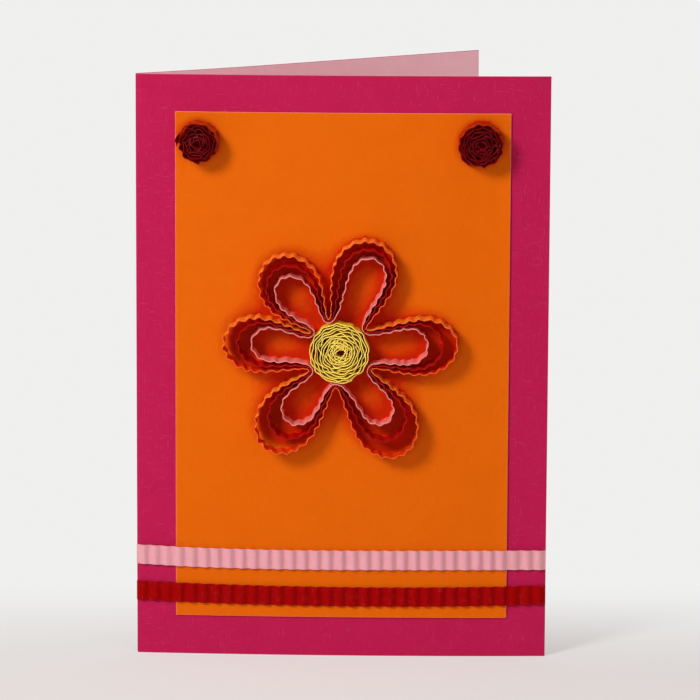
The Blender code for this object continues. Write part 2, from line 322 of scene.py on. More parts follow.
# One row for each petal, anticlockwise: the direction of the turn before it, then the
# direction, reach and width of its outer loop and of its inner loop.
PETALS = (
    (42.0, 72.8, 0.0295, 0.0160, 70.0, 0.0255, 0.0093),
    (108.0, 127.5, 0.0295, 0.0150, 129.0, 0.0239, 0.0088),
    (145.5, 174.7, 0.0296, 0.0137, 173.7, 0.0226, 0.0085),
    (210.0, 232.5, 0.0309, 0.0150, 233.8, 0.0222, 0.0086),
    (264.0, 302.5, 0.0306, 0.0157, 304.0, 0.0216, 0.0080),
    (332.0, 364.3, 0.0298, 0.0141, 365.6, 0.0224, 0.0091),
)
FLAT_DOWN = (0.0,) * len(PETALS)
TIP_LIFT = (0.0, 0.0012, 0.0018, 0.0018, 0.0006, 0.0)
PINK_PUSH = Vector((0.03, -0.045))
RED_PUSH = Vector((0.0, -0.045))
ORANGE_PUSH = Vector((0.0, -0.04))
ORANGE_CRIMP_DEPTH = 0.00046
RED_CRIMP_DEPTH = 0.00042
PINK_CRIMP_DEPTH = 0.00038
# The foot colours, outer side then inner, are painted light: painted shade and painted red light
# thrown back between the strips, which the walls take on towards their glued edge.
STRIP_ORANGE = (0.95, 0.22, 0.020)
STRIP_ORANGE_DEEP = (0.90, 0.17, 0.010)
STRIP_ORANGE_FOOT_PAINTED_LIGHT = ((0.84, 0.12, 0.008), (0.68, 0.012, 0.001))
STRIP_ORANGE_CUT = (0.86, 0.12, 0.040)
ORANGE_GLOW = (1.0, 0.14, 0.02)
ORANGE_CUT_GLOW = (1.0, 0.25, 0.03)
STRIP_RED = (0.48, 0.004, 0.004)
STRIP_RED_DEEP = (0.40, 0.002, 0.003)
STRIP_RED_FOOT_PAINTED_LIGHT = ((0.97, 0.012, 0.002), (0.46, 0.003, 0.001))
STRIP_RED_CUT = (0.34, 0.012, 0.010)
RED_GLOW = (1.0, 0.03, 0.03)
STRIP_PINK = (0.82, 0.25, 0.24)
STRIP_PINK_DEEP = (0.76, 0.19, 0.19)
STRIP_PINK_FOOT_PAINTED_LIGHT = ((0.88, 0.13, 0.12), (0.82, 0.15, 0.13))
STRIP_PINK_CUT = (0.92, 0.29, 0.24)
PINK_GLOW = (1.0, 0.5, 0.5)


def crimping_tree():
    """Sweeps a paper strip along a line of points and presses it into waves.

    Each point of the line says how many waves lie before it (wave), how deep they are
    there (swing) and how far the strip leans over (lean).
    """
    tree = bpy.data.node_groups.new("crimped_strip", "GeometryNodeTree")
    tree.interface.new_socket("Line", in_out="INPUT", socket_type="NodeSocketGeometry")
    for name in ("Width", "Thickness", "Crimp Depth", "Point Spacing", "Unevenness", "Seed"):
        tree.interface.new_socket(name, in_out="INPUT", socket_type="NodeSocketFloat")
    for name in ("Paper", "Cut Edge"):
        tree.interface.new_socket(name, in_out="INPUT", socket_type="NodeSocketMaterial")
    tree.interface.new_socket("Strip", in_out="OUTPUT", socket_type="NodeSocketGeometry")
    given = add_node(tree, "NodeGroupInput").outputs

    def attribute(name):
        return add_node(tree, "GeometryNodeInputNamedAttribute", {"Name": name}).outputs[0]

    def calculate(operation, first, second=0.0):
        inputs = {0: first, 1: second}
        return add_node(tree, "ShaderNodeMath", inputs, operation=operation).outputs[0]

    curve = add_node(tree, "GeometryNodeMeshToCurve", {"Mesh": given["Line"]}).outputs[0]
    curve = add_node(tree, "GeometryNodeResampleCurve", {
        "Curve": curve, "Length": given["Point Spacing"]}, mode="LENGTH").outputs[0]
    length = add_node(tree, "GeometryNodeSplineParameter").outputs["Length"]
    curve = add_node(tree, "GeometryNodeStoreNamedAttribute", {
        "Geometry": curve, "Name": "run", "Value": length}).outputs[0]

    wave = attribute("wave")
    seeded = calculate("ADD", wave, given["Seed"])
    drift = add_node(tree, "ShaderNodeTexNoise", {"W": seeded, "Scale": 0.45, "Detail": 1.0},
                     noise_dimensions="1D").outputs[0]
    drift = calculate("MULTIPLY", calculate("SUBTRACT", drift, 0.5), given["Unevenness"])
    swell = add_node(tree, "ShaderNodeTexNoise", {"W": seeded, "Scale": 0.8, "Detail": 1.0},
                     noise_dimensions="1D").outputs[0]
    swell = calculate("MULTIPLY", calculate("SUBTRACT", swell, 0.5), given["Unevenness"])
    swell = calculate("ADD", calculate("MULTIPLY", swell, 1.5), 1.0)
    angle = calculate("MULTIPLY", calculate("ADD", wave, drift), tau)
    height = calculate("MULTIPLY", calculate("COSINE", angle), attribute("swing"))
    height = calculate("MULTIPLY", height, calculate("MULTIPLY", given["Crimp Depth"], 0.5))
    height = calculate("MULTIPLY", height, swell)
    tangent = add_node(tree, "GeometryNodeInputTangent").outputs[0]
    sideways = add_node(tree, "ShaderNodeVectorMath", {0: tangent, 1: (0.0, 0.0, 1.0)},
                        operation="CROSS_PRODUCT").outputs[0]
    push = add_node(tree, "ShaderNodeVectorMath", {0: sideways, "Scale": height},
                    operation="SCALE").outputs[0]
    curve = add_node(tree, "GeometryNodeSetPosition", {
        "Geometry": curve, "Offset": push}).outputs[0]
    curve = add_node(tree, "GeometryNodeSetCurveNormal", {"Curve": curve},
                     mode="Z_UP").outputs[0]
    curve = add_node(tree, "GeometryNodeSetCurveTilt", {
        "Curve": curve, "Tilt": attribute("lean")}).outputs[0]

    section = add_node(tree, "GeometryNodeCurvePrimitiveQuadrilateral", {
        "Width": given["Thickness"], "Height": given["Width"]}).outputs[0]
    section = add_node(tree, "GeometryNodeSubdivideCurve", {
        "Curve": section, "Cuts": 2}).outputs[0]
    drop = calculate("MULTIPLY", given["Width"], -0.5)
    drop = add_node(tree, "ShaderNodeCombineXYZ", {"Y": drop}).outputs[0]
    section = add_node(tree, "GeometryNodeSetPosition", {
        "Geometry": section, "Offset": drop}).outputs[0]
    place = add_node(tree, "ShaderNodeSeparateXYZ", {
        0: add_node(tree, "GeometryNodeInputPosition").outputs[0]}).outputs
    across = calculate("ABSOLUTE", place["Y"])
    section = add_node(tree, "GeometryNodeStoreNamedAttribute", {
        "Geometry": section, "Name": "across", "Value": across}).outputs[0]
    section = add_node(tree, "GeometryNodeStoreNamedAttribute", {
        "Geometry": section, "Name": "side", "Value": place["X"]}).outputs[0]
    strip = add_node(tree, "GeometryNodeCurveToMesh", {
        "Curve": curve, "Profile Curve": section, "Fill Caps": True}).outputs[0]

    bend = add_node(tree, "GeometryNodeInputMeshEdgeAngle").outputs[0]
    sharp = add_node(tree, "FunctionNodeCompare", {0: bend, 1: CORNER_ANGLE}).outputs[0]
    strip = add_node(tree, "GeometryNodeStoreNamedAttribute", {
        "Geometry": strip, "Name": "sharp_edge", "Value": sharp},
        data_type="BOOLEAN", domain="EDGE").outputs[0]
    facing = add_node(tree, "ShaderNodeSeparateXYZ", {
        0: add_node(tree, "GeometryNodeInputNormal").outputs[0]}).outputs["Z"]
    steep = calculate("ABSOLUTE", facing)
    is_cut = add_node(tree, "FunctionNodeCompare", {0: steep, 1: 0.75}).outputs[0]
    strip = add_node(tree, "GeometryNodeSetMaterial", {
        "Geometry": strip, "Material": given["Paper"]}).outputs[0]
    strip = add_node(tree, "GeometryNodeSetMaterial", {
        "Geometry": strip, "Selection": is_cut, "Material": given["Cut Edge"]}).outputs[0]
    strip = add_node(tree, "GeometryNodeRealizeInstances", {"Geometry": strip}).outputs[0]
    add_node(tree, "NodeGroupOutput", {"Strip": strip})
    return tree


crimper = crimping_tree()


def crimped_strip(name, line, place, materials, depth, unevenness, seed):
    """A strip swept along a line of (point, wave, swing, lean), then set in its place."""
    path = bpy.data.meshes.new(name + "_line")
    pairs = [(index, index + 1) for index in range(len(line) - 1)]
    path.from_pydata([stop[0] for stop in line], pairs, [])
    for column, attribute in ((1, "wave"), (2, "swing"), (3, "lean")):
        values = path.attributes.new(attribute, "FLOAT", "POINT").data
        values.foreach_set("value", [stop[column] for stop in line])
    piece = new_piece(name, path, ())
    modifier = piece.modifiers.new("Crimper", "NODES")
    modifier.node_group = crimper
    settings = {
        "Width": STRIP_WIDTH, "Thickness": STRIP_THICKNESS, "Crimp Depth": depth,
        "Point Spacing": POINT_SPACING, "Unevenness": unevenness, "Seed": seed,
        "Paper": materials[0], "Cut Edge": materials[1],
    }
    for socket in crimper.interface.items_tree:
        if socket.name in settings:
            modifier[socket.identifier] = settings[socket.name]
    keep_mesh(piece)
    for vert in piece.data.vertices:
        vert.co = place(vert.co)
    bm = bmesh.new()
    bm.from_mesh(piece.data)
    bmesh.ops.recalc_face_normals(bm, faces=bm.faces)
    for face in bm.faces:
        face.smooth = True
    bm.to_mesh(piece.data)
    bm.free()
    return piece


def thin_paper(name, colour, deep, roughness, glow, glow_colour, glow_reach=0.0003, foot_painted_light=None,
               inner_painted_shade=0.0, **details):
    """Strip paper, thin enough that light passes through it in its own colour.

    A strip on edge may have two colours of painted foot light, for its outer and its inner
    side: painted shade and painted red light thrown back between the strips. Its walls take
    them on towards the glued edge, and its inner wall has a share of its inner one all over,
    as painted shade.
    """
    material = paper(name, colour, deep, roughness, tooth=0.0003, cloud=0.003, **details)
    tree = material.node_tree
    shader = tree.nodes["Principled BSDF"]
    if foot_painted_light:
        body = shader.inputs["Base Color"].links[0].from_socket
        height = add_node(tree, "ShaderNodeAttribute", attribute_name="across").outputs["Fac"]
        depth = spread(tree, height, 0.1 * STRIP_WIDTH, 0.9 * STRIP_WIDTH, 1.0, 0.0)
        side = add_node(tree, "ShaderNodeAttribute", attribute_name="side").outputs["Fac"]
        inside = spread(tree, side, -STRIP_THICKNESS / 4.0, STRIP_THICKNESS / 4.0, 1.0, 0.0)
        painted_foot_light_colour = mixed(tree, inside, *foot_painted_light)
        inner_shade_share = add_node(tree, "ShaderNodeMath", {0: inside, 1: inner_painted_shade},
                         operation="MULTIPLY")
        depth = add_node(tree, "ShaderNodeMath", {0: depth, 1: inner_shade_share.outputs[0]},
                         operation="MAXIMUM").outputs[0]
        tree.links.new(mixed(tree, depth, body, painted_foot_light_colour), shader.inputs["Base Color"])
    shader.inputs["Subsurface Weight"].default_value = glow
    shader.inputs["Subsurface Radius"].default_value = glow_colour
    shader.inputs["Subsurface Scale"].default_value = glow_reach
    return material


def towards(direction, distance=1.0):
    """A step of a given length in a given direction of the plane."""
    angle = radians(direction)
    return Vector((cos(angle), sin(angle))) * distance


def bezier(start, start_handle, end_handle, end):
    """Points of a cubic curve in the plane, without its last one."""
    knots = [point.to_3d() for point in (start, start_handle, end_handle, end)]
    return [point.to_2d() for point in interpolate_bezier(*knots, BEZIER_STEPS + 1)[:-1]]


def half_petal(turn, axis, reach, width, shoulder_share, turn_radius, turn_handle, side):
    """From the turn beside the middle roll, out along one side of a petal, to its tip."""
    along_axis = towards(axis)
    across = towards(axis + 90.0, side)
    foot = towards(turn, turn_radius)
    foot_handle = foot + towards(turn - 90.0 * side, turn_handle)
    shoulder_out = shoulder_share * reach
    shoulder = along_axis * shoulder_out + across * width / 2.0
    side_handle = shoulder - along_axis * SIDE_FULLNESS * (shoulder_out - turn_radius)
    round_handle = shoulder + along_axis * ROUNDNESS * (reach - shoulder_out)
    tip = along_axis * reach
    tip_handle = tip + across * ROUNDNESS * width / 2.0
    points = bezier(foot, foot_handle, side_handle, shoulder)
    points += bezier(shoulder, round_handle, tip_handle, tip)
    points.append(tip)
    return points


def petal_loop(number, outward, shoulder_share, turn_radius, turn_handle):
    """One petal's smooth line, from turn to turn. Outward is 0 inside and 1 outside."""
    before, outer_axis, outer_reach, outer_width, axis, reach, width = PETALS[number]
    after = PETALS[(number + 1) % len(PETALS)][0]
    if after < before:
        after += 360.0
    axis += (outer_axis - axis) * outward
    reach += (outer_reach - reach) * outward
    width += (outer_width - width) * outward
    shape = (axis, reach, width, shoulder_share, turn_radius, turn_handle)
    rising = half_petal(before, *shape, -1.0)
    falling = half_petal(after, *shape, 1.0)
    return rising + falling[-2::-1]


def lengths_along(points):
    """How far along its line each point lies."""
    total = [0.0]
    for start, end in zip(points, points[1:]):
        total.append(total[-1] + (end - start).length)
    return total


def widest_turn(radius, turn_gap):
    """How far the end of a roll's strip reaches, where it lies on the turn before."""
    return radius + turn_gap / 2.0


def petal_line(outward, order, shoulder_share, turn_handle, lift, lean, push):
    """The line of one strip round all six petals, with its waves, lifts and leans.

    It leans outwards, and more where it faces the way it was pushed. Its free edge stays
    put and its glued edge is moved in.
    """
    widest = widest_turn(CENTRE_ROLL_RADIUS, CENTRE_ROLL_TURN_GAP)
    turn_radius = widest + GLUE + STRIP_THICKNESS / 2.0 + STRIP_SPACING * order
    line = []
    waves_before = 0
    for number in range(len(PETALS)):
        smooth = petal_loop(number, outward, shoulder_share, turn_radius, turn_handle)
        lengths = lengths_along(smooth)
        waves = round(lengths[-1] / CRIMP_PITCH)
        for index, (point, length) in enumerate(zip(smooth[:-1], lengths)):
            from_turn = min(length, lengths[-1] - length)
            swing = min(1.0, from_turn / FLAT_AT_TURN)
            share = from_turn / lengths[-1] * 2.0
            rise = lift[number] * share * share
            wave = waves_before + waves * length / lengths[-1]
            onward = (smooth[index + 1] - point).normalized()
            inward = Vector((-onward.y, onward.x))
            tilt = (lean - inward.dot(push)) * swing
            spot = point + inward * STRIP_WIDTH * sin(tilt)
            line.append(((spot.x, spot.y, rise), wave, swing, tilt))
        waves_before += waves
    return line


def on_flower(point):
    """From the flower's own plane to its place on the panel."""
    return on_card(FLOWER_RIGHT + point.x, FLOWER_UP + point.y, panel_front() + GLUE + point.z)


pink_papers = (
    thin_paper("pink_strip_paper", STRIP_PINK, STRIP_PINK_DEEP, roughness=0.45, glow=0.6,
               glow_colour=PINK_GLOW, foot_painted_light=STRIP_PINK_FOOT_PAINTED_LIGHT),
    thin_paper("pink_strip_cut", STRIP_PINK_CUT, STRIP_PINK, roughness=0.6, glow=0.6,
               glow_colour=PINK_GLOW),
)
pink_line = petal_line(outward=0.0, order=0, shoulder_share=0.78, turn_handle=0.0026,
                       lift=FLAT_DOWN, lean=0.008, push=PINK_PUSH)
pink_petals = crimped_strip("pink_petals", pink_line, on_flower, pink_papers,
                            PINK_CRIMP_DEPTH, unevenness=0.8, seed=3.0)
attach(pink_petals, "root")
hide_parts("pink_petal_strip")

red_papers = (
    thin_paper("red_strip_paper", STRIP_RED, STRIP_RED_DEEP, roughness=0.34, glow=0.5,
               glow_colour=RED_GLOW, glow_reach=0.0006, foot_painted_light=STRIP_RED_FOOT_PAINTED_LIGHT,
               fibre_share=0.05, gloss=0.1),
    thin_paper("red_strip_cut", STRIP_RED_CUT, STRIP_RED, roughness=0.5, glow=0.5,
               glow_colour=RED_GLOW, fibre_share=0.05),
)
red_line = petal_line(outward=0.5, order=1, shoulder_share=0.75, turn_handle=0.0021,
                      lift=FLAT_DOWN, lean=0.025, push=RED_PUSH)
red_petals = crimped_strip("red_petals", red_line, on_flower, red_papers,
                           RED_CRIMP_DEPTH, unevenness=0.6, seed=11.0)
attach(red_petals, "root")
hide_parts("red_petal_strip")

orange_papers = (
    thin_paper("orange_strip_paper", STRIP_ORANGE, STRIP_ORANGE_DEEP, roughness=0.55,
               glow=0.9, glow_colour=ORANGE_GLOW, glow_reach=0.0007,
               foot_painted_light=STRIP_ORANGE_FOOT_PAINTED_LIGHT, inner_painted_shade=0.85),
    thin_paper("orange_strip_cut", STRIP_ORANGE_CUT, STRIP_ORANGE, roughness=0.6, glow=0.9,
               glow_colour=ORANGE_CUT_GLOW),
)
orange_line = petal_line(outward=1.0, order=2, shoulder_share=0.70, turn_handle=0.0013,
                         lift=TIP_LIFT, lean=0.0, push=ORANGE_PUSH)
orange_petals = crimped_strip("orange_petals", orange_line, on_flower, orange_papers,
                              ORANGE_CRIMP_DEPTH, unevenness=0.5, seed=23.0)
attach(orange_petals, "root")
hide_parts("orange_petal_strip")

# The yellow middle roll
# A long yellow strip, crimped and rolled up round its own end, its outer end glued down.
# The crimps of one turn seldom meet those of the next, which leaves lens-shaped gaps.
ROLL_CORE = 0.0007
ROLL_TELESCOPE = 0.0008
ROLL_STEPS_PER_TURN = 48
ROLL_BULGE = 0.35
OUTER_TURNS = 1.5
OUTER_FLATTENING = 0.3
CENTRE_ROLL_CRIMP_DEPTH = 0.00028
CENTRE_ROLL_CRIMP_PITCH = 0.0034
YELLOW = (0.98, 0.67, 0.035)
YELLOW_DEEP = (0.95, 0.58, 0.02)
# Painted shade and painted bounce light that the roll's walls take on towards the glued edge.
YELLOW_FOOT_PAINTED_LIGHT = ((0.98, 0.60, 0.012), (0.98, 0.58, 0.012))
YELLOW_CUT = (1.0, 0.76, 0.15)
YELLOW_GLOW = (1.0, 0.7, 0.1)
YELLOW_CUT_GLOW = (1.0, 0.7, 0.2)


def roll_line(radius, turn_gap, crimp_depth, crimp_pitch, start_angle, seed):
    """A roll's spiral from its core to its outer end, its turns a little up and down.

    Its waves are shallow round the core, and a little flattened on the outermost turns.
    """
    outer = widest_turn(radius, turn_gap) - STRIP_THICKNESS / 2.0 - crimp_depth / 2.0
    turns = (outer - ROLL_CORE) / turn_gap
    steps = ceil(turns * ROLL_STEPS_PER_TURN)
    line = []
    run = 0.0
    before = None
    for step in range(steps + 1):
        share = step / steps
        angle = start_angle + turns * tau * share
        bulge = noise.noise(Vector((cos(angle), sin(angle), seed + turns * share * 0.9)))
        slack = 4.0 * share * (1.0 - share)
        reach = ROLL_CORE + (outer - ROLL_CORE) * share
        reach += bulge * slack * turn_gap * ROLL_BULGE
        point = towards(degrees(angle), reach)
        if before is not None:
            run += (point - before).length
        before = point.copy()
        spot = (cos(angle) * 1.2, sin(angle) * 1.2, turns * share * 0.8 - seed)
        slip = noise.noise(Vector(spot))
        outermost = max(0.0, 1.0 - (1.0 - share) * turns / OUTER_TURNS)
        swing = min(1.0, point.length / radius * 1.5) * (1.0 - OUTER_FLATTENING * outermost)
        height = max(0.0, ROLL_TELESCOPE * (0.4 + slip))
        line.append(((point.x, point.y, height), run / crimp_pitch, swing, 0.0))
    return line


def on_spot(right, up, slant=(0.0, 0.0)):
    """The way from a roll's own plane to its place on the panel.

    A slanted roll has its glued end out of line with its free end, which stays put.
    """
    def place(point):
        depth = STRIP_WIDTH - point.z
        return on_card(right + point.x + depth * slant[0], up + point.y + depth * slant[1],
                       panel_front() + GLUE + point.z)

    return place


yellow_papers = (
    thin_paper("yellow_strip_paper", YELLOW, YELLOW_DEEP, roughness=0.5, glow=0.95,
               glow_colour=YELLOW_GLOW, glow_reach=0.0012, foot_painted_light=YELLOW_FOOT_PAINTED_LIGHT),
    thin_paper("yellow_strip_cut", YELLOW_CUT, YELLOW_CUT, roughness=0.6, glow=0.3,
               glow_colour=YELLOW_CUT_GLOW),
)
yellow_line = roll_line(CENTRE_ROLL_RADIUS, CENTRE_ROLL_TURN_GAP, CENTRE_ROLL_CRIMP_DEPTH,
                        CENTRE_ROLL_CRIMP_PITCH, radians(20.0), seed=5.0)
yellow_roll = crimped_strip("middle_roll", yellow_line, on_spot(FLOWER_RIGHT, FLOWER_UP),
                            yellow_papers, CENTRE_ROLL_CRIMP_DEPTH, unevenness=0.9, seed=5.0)
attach(yellow_roll, "root")
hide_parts("yellow_centre_roll")

# The dark red corner rolls
# Two shorter strips of glossy dark red paper, crimped, rolled up and glued near the
# panel's top corners. The right one's loose end has sprung away from it.
CORNER_ROLL_TURN_GAP = 0.00084
CORNER_ROLL_CRIMP_DEPTH = 0.0003
LEFT_ROLL_RADIUS = 0.00515
LEFT_ROLL_INSET = 0.0059
LEFT_ROLL_DROP = 0.0076
RIGHT_ROLL_RADIUS = 0.0056
RIGHT_ROLL_INSET = 0.0074
RIGHT_ROLL_DROP = 0.0078
RIGHT_ROLL_LOOSE_END = 0.0013
LOOSE_END_STEPS = 8
LOOSE_END_SLOPE = 0.7
LOOSE_END_LEAN = -0.35
MAROON = (0.42, 0.002, 0.003)
MAROON_DEEP = (0.34, 0.001, 0.002)
# Painted light that the rolls' walls take on towards the glued edge, lightening the gaps.
MAROON_FOOT_PAINTED_LIGHT = ((0.52, 0.001, 0.001), (0.70, 0.002, 0.002))
MAROON_CUT = (0.14, 0.002, 0.006)


def with_loose_end(line, length):
    """The line of a roll with its last stretch carried on, away from the roll."""
    (x, y, height), wave, swing, lean = line[-1]
    outward = Vector((x, y)).normalized()
    onward = Vector((-outward.y, outward.x))
    tail = (onward + outward * LOOSE_END_SLOPE).normalized()
    for step in range(1, LOOSE_END_STEPS + 1):
        share = step / LOOSE_END_STEPS
        spot = Vector((x, y)) + tail * length * share
        line.append(((spot.x, spot.y, height), wave, swing, LOOSE_END_LEAN * share))
    return line


maroon_papers = (
    thin_paper("maroon_strip_paper", MAROON, MAROON_DEEP, roughness=0.2, glow=0.5,
               glow_colour=RED_GLOW, foot_painted_light=MAROON_FOOT_PAINTED_LIGHT, fibre_share=0.05, gloss=0.4),
    thin_paper("maroon_strip_cut", MAROON_CUT, MAROON_CUT, roughness=0.35, glow=0.2,
               glow_colour=RED_GLOW, fibre_share=0.05, gloss=0.06),
)
left_line = roll_line(LEFT_ROLL_RADIUS, CORNER_ROLL_TURN_GAP, CORNER_ROLL_CRIMP_DEPTH,
                      CRIMP_PITCH, radians(5.0), seed=7.0)
right_line = roll_line(RIGHT_ROLL_RADIUS, CORNER_ROLL_TURN_GAP, CORNER_ROLL_CRIMP_DEPTH,
                       CRIMP_PITCH, radians(215.6), seed=9.0)
right_line = with_loose_end(right_line, RIGHT_ROLL_LOOSE_END)
left_spot = on_spot(PANEL_LEFT + LEFT_ROLL_INSET, PANEL_HEAD - LEFT_ROLL_DROP,
                    slant=(0.07, 0.04))
right_spot = on_spot(PANEL_RIGHT - RIGHT_ROLL_INSET, PANEL_HEAD - RIGHT_ROLL_DROP,
                     slant=(0.0, 0.05))
corner_rolls = (
    ("left_rolled_dot", "left_corner_roll", left_line, left_spot, 7.0),
    ("right_rolled_dot", "right_corner_roll", right_line, right_spot, 9.0),
)
for name, node, line, place, seed in corner_rolls:
    dot = crimped_strip(name, line, place, maroon_papers, CORNER_ROLL_CRIMP_DEPTH,
                        unevenness=0.7, seed=seed)
    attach(dot, "root")
    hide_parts(node)

# The painted light between the papers
# Between the strips and beside the rolls, each point of the panel's face knows how much of
# the room they hide, and its colour is painted darker and redder there: painted shade, and
# painted red light in place of light coming through dyed paper and thrown back from it.
SHELTER_RAYS = 72
SHELTER_REACH = 0.02
SHELTER_START = 0.0001
# How much of the room must be hidden for the painted shade and the painted red bounce light to
# begin and to be full, and the colours they paint.
PAINTED_SHADE_FROM, PAINTED_SHADE_FULLY = 0.24, 0.58
PAINTED_BOUNCE_FROM, PAINTED_BOUNCE_FULLY = 0.72, 0.94
PAINTED_SHADE_ORANGE = (0.52, 0.020, 0.0006)
PAINTED_RED_BOUNCE_ORANGE = (0.94, 0.020, 0.0005)

walls = bmesh.new()
for name in ("pink_petals", "red_petals", "orange_petals", "middle_roll", "left_rolled_dot",
             "right_rolled_dot"):
    walls.from_mesh(bpy.data.objects[name].data)
wall_tree = BVHTree.FromBMesh(walls)
walls.free()
sky = []
for ray in range(SHELTER_RAYS):
    height = ((ray + 0.5) / SHELTER_RAYS)**0.5
    spin = ray * pi * (3.0 - 5.0**0.5)
    flat = (1.0 - height * height)**0.5
    sky.append(Vector((cos(spin) * flat, -height, sin(spin) * flat)))
shade_paint_share = panel.data.attributes.new("shade_paint_share", "FLOAT", "POINT")
for vert, share in zip(panel.data.vertices, shade_paint_share.data):
    start = vert.co + Vector((0.0, -SHELTER_START, 0.0))
    hidden = sum(wall_tree.ray_cast(start, ray, SHELTER_REACH)[0] is not None for ray in sky)
    share.value = hidden / SHELTER_RAYS

# The panel's orange is mixed towards the painted shade where the strips hide some of the room,
# and towards the painted red bounce light where they hide most of it.
orange_tree = orange_card.node_tree
orange_shader = orange_tree.nodes["Principled BSDF"]
open_colour = orange_shader.inputs["Base Color"].links[0].from_socket
share = add_node(orange_tree, "ShaderNodeAttribute", attribute_name="shade_paint_share").outputs["Fac"]
painted_shade_mask = spread(orange_tree, share, PAINTED_SHADE_FROM, PAINTED_SHADE_FULLY)
painted_bounce_mask = spread(orange_tree, share, PAINTED_BOUNCE_FROM, PAINTED_BOUNCE_FULLY)
shade_painted_colour = mixed(orange_tree, painted_shade_mask, open_colour, PAINTED_SHADE_ORANGE)
hidden = mixed(orange_tree, painted_bounce_mask, shade_painted_colour, PAINTED_RED_BOUNCE_ORANGE)
orange_tree.links.new(hidden, orange_shader.inputs["Base Color"])

# The two bands
# Crimped strips glued flat across the foot of the card, their ribs upright. They run
# over the panel's edges down to the bare card, and end flush with it on both sides.
BAND_PITCH = 0.00315
BAND_DEPTH = 0.0007
BAND_SLOPE_LENGTH = 0.002
BAND_STEPS_PER_RIB = 12
BAND_MARGIN_SWING = 0.8
PINK_BAND_UP = (0.0159, 0.0144, 0.0155, 0.0152)
RED_BAND_UP = (0.0064, 0.0054, 0.0052, 0.0061)
BAND_PINK = (0.76, 0.37, 0.42)
BAND_PINK_DEEP = (0.69, 0.30, 0.35)
BAND_RED = (0.34, 0.001, 0.002)
BAND_RED_DEEP = (0.29, 0.001, 0.001)


def under_band(along):
    """What a band lies on: the panel in the middle, the bare card at both ends."""
    outside = max(PANEL_LEFT - along, along - PANEL_RIGHT, 0.0)
    return panel_front() * max(0.0, 1.0 - outside / BAND_SLOPE_LENGTH)


def band_line():
    """A band's line seen from above, proud of the card by half the depth of its ribs."""
    ribs = round(CARD_WIDTH / BAND_PITCH)
    steps = ribs * BAND_STEPS_PER_RIB
    line = []
    for step in range(steps + 1):
        along = CARD_WIDTH * step / steps
        proud = under_band(along) + GLUE + STRIP_THICKNESS + BAND_DEPTH / 2.0
        on_panel = PANEL_LEFT < along < PANEL_RIGHT
        swing = 1.0 if on_panel else BAND_MARGIN_SWING
        line.append(((along, -proud, 0.0), ribs * step / steps + 0.5, swing, 0.0))
    return line


def laid_band(name, heights, papers, seed):
    """A band whose height above the panel's foot is a cubic curve across the card."""
    def on_front(point):
        share = min(max(point.x / CARD_WIDTH, 0.0), 1.0)
        rest = 1.0 - share
        weights = (rest**3, 3 * share * rest**2, 3 * share**2 * rest, share**3)
        up = PANEL_FOOT + sum(weight * height for weight, height in zip(weights, heights))
        return on_card(point.x, up - STRIP_WIDTH / 2.0 + point.z, -point.y)

    return crimped_strip(name, band_line(), on_front, papers, BAND_DEPTH,
                         unevenness=0.2, seed=seed)


pink_band_paper = thin_paper("pink_band_paper", BAND_PINK, BAND_PINK_DEEP, roughness=0.42,
                             glow=0.2, glow_colour=PINK_GLOW)
red_band_paper = thin_paper("red_band_paper", BAND_RED, BAND_RED_DEEP, roughness=0.32,
                            glow=0.2, glow_colour=RED_GLOW, fibre_share=0.03, gloss=0.02)
bands = (
    ("pink_ribbed_band", "pink_band", PINK_BAND_UP, (pink_band_paper, pink_papers[1]),
     "pink_paper", 31.0),
    ("red_ribbed_band", "red_band", RED_BAND_UP, (red_band_paper, red_papers[1]),
     "dark_red_paper", 37.0),
)
for name, node, heights, papers, slot, seed in bands:
    band = laid_band(name, heights, papers, seed)
    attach(band, "root")
    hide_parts(node)

# The stage
# A pale seamless sweep: a flat floor that curves up behind the card. Its pale glow, partial
# in front and full behind the card, is for the view and reflections, so it lights nothing.
FLOOR_COLOUR = (0.86, 0.85, 0.84)
BACKDROP_COLOUR = (0.87, 0.87, 0.86)
FLOOR_FRONT = -1.6
FLOOR_BACK = 2.2
FLOOR_SIDE = 2.5
SWEEP_RADIUS = 0.8
SWEEP_HEIGHT = 1.6
SWEEP_STEPS = 16
GLOW_START = -0.05
GLOW_FULL = 0.06
FRONT_GLOW_SHARE = 0.42

floor_profile = [Vector((0.0, FLOOR_FRONT, 0.0)), Vector((0.0, FLOOR_BACK, 0.0))]
for step in range(1, SWEEP_STEPS + 1):
    angle = pi / 2.0 * step / SWEEP_STEPS
    floor_profile.append(Vector((0.0, FLOOR_BACK + SWEEP_RADIUS * sin(angle),
                                 SWEEP_RADIUS * (1.0 - cos(angle)))))
floor_profile.append(Vector((0.0, FLOOR_BACK + SWEEP_RADIUS, SWEEP_RADIUS + SWEEP_HEIGHT)))
floor_mesh = bpy.data.meshes.new("pale_sweep")
bm = bmesh.new()
bmesh.ops.create_grid(bm, x_segments=1, y_segments=len(floor_profile) - 1, size=1.0)
for vert in bm.verts:
    row = round((vert.co.y + 1.0) / 2.0 * (len(floor_profile) - 1))
    vert.co = floor_profile[row] + Vector((vert.co.x * FLOOR_SIDE, 0.0, 0.0))
for face in bm.faces:
    face.smooth = True
bm.to_mesh(floor_mesh)
bm.free()
floor_paper = bpy.data.materials.new("pale_floor")
floor_paper.use_nodes = True
floor_tree = floor_paper.node_tree
floor_shader = floor_tree.nodes["Principled BSDF"]
floor_shader.inputs["Base Color"].default_value = (*FLOOR_COLOUR, 1.0)
floor_shader.inputs["Roughness"].default_value = 0.9
floor_shader.inputs["Specular IOR Level"].default_value = 0.1
path = add_node(floor_tree, "ShaderNodeLightPath").outputs
seen = add_node(floor_tree, "ShaderNodeMath", {
    0: path["Is Camera Ray"], 1: path["Is Glossy Ray"]}, operation="MAXIMUM").outputs[0]
